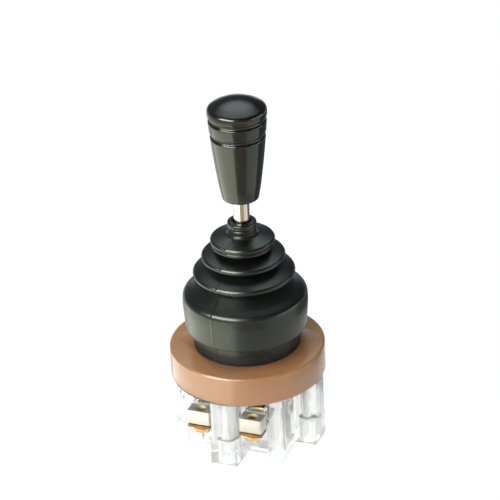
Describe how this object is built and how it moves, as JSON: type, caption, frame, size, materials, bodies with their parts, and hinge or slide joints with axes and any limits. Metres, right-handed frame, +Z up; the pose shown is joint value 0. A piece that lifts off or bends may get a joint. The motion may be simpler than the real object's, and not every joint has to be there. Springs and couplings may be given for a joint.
{
  "type": "industrial joystick",
  "caption": "Panel-mounted lever switch with a tapered knob, bellows boot, brown flanged body and clear contact base with screw terminals, spring-centred, tilting both ways.",
  "frame": {"origin": "centre of the base on the plane of its feet", "axes": "+Z up along the lever at rest, -Y towards the front terminals, the lever tilts about X"},
  "size_m": [0.051, 0.051, 0.1226],
  "materials": {
    "clear_polycarbonate": "clear, polished",
    "zinc_screws": "bright zinc plate",
    "black_seal": "matt",
    "brown_moulding": "satin moulded",
    "black_nylon": "satin moulded",
    "steel_pins": "ground",
    "nut_plastic": "satin moulded",
    "boot_rubber": "satin moulded rubber",
    "chromed_shaft": "bright chrome",
    "spring_steel": "drawn wire",
    "knob_plastic": "polished black",
    "brass": "rolled",
    "brass_screws": "turned",
    "silver_tips": "silver",
    "nickel_plate": "nickel plate"
  },
  "bodies": {
    "housing": {"contact_base": "clear_polycarbonate", "base_screws": "zinc_screws", "base_gasket": "black_seal", "mounting_body": "brown_moulding", "guide_plate": "black_nylon", "pivot_pin": "steel_pins", "gate_plate": "black_nylon", "panel_gasket": "black_seal", "mounting_nut": "nut_plastic", "boot": "boot_rubber", "centring_spring": "spring_steel", "fixed_contact_tips": "silver_tips", "terminal_screws": "brass_screws", "terminal_washers": "brass_screws", "plunger_spring_front": "spring_steel", "plunger_spring_back": "spring_steel", "fixed_contact_front_left": "brass", "terminal_block_front_left": "nickel_plate", "fixed_contact_front_right": "brass", "terminal_block_front_right": "nickel_plate", "fixed_contact_back_left": "brass", "terminal_block_back_left": "nickel_plate", "fixed_contact_back_right": "brass", "terminal_block_back_right": "nickel_plate"},
    "lever": {"rocker": "black_nylon", "rocker_pin": "steel_pins", "lever_shaft": "chromed_shaft", "spring_collar": "steel_pins", "knob": "knob_plastic", "knob_insert": "brass"},
    "plunger_front": {"plunger_front": "black_nylon", "contact_bridge_front": "brass", "bridge_tips_front": "silver_tips", "bridge_clip_front": "spring_steel"},
    "plunger_back": {"plunger_back": "black_nylon", "contact_bridge_back": "brass", "bridge_tips_back": "silver_tips", "bridge_clip_back": "spring_steel"}
  },
  "joints": [
    {"name": "lever_tilt", "type": "hinge", "parent": "housing", "child": "lever", "pos_m": [0, 0, 0.031], "axis": [1, 0, 0], "range_deg": [-20, 20], "stiffness_Nm_per_rad": 1, "deforming": ["boot", "centring_spring"]},
    {"name": "plunger_front_slide", "type": "slide", "parent": "housing", "child": "plunger_front", "axis": [0, 0, 1], "range_m": [-0.0028, 0.0028], "deforming": ["plunger_spring_front"]},
    {"name": "plunger_back_slide", "type": "slide", "parent": "housing", "child": "plunger_back", "axis": [0, 0, 1], "range_m": [-0.0028, 0.0028], "deforming": ["plunger_spring_back"]}
  ],
  "couplings": [
    {"joint": "plunger_front_slide", "follows": "lever_tilt", "m_per_rad": -0.0078202},
    {"joint": "plunger_back_slide", "follows": "lever_tilt", "m_per_rad": 0.0078202}
  ]
}
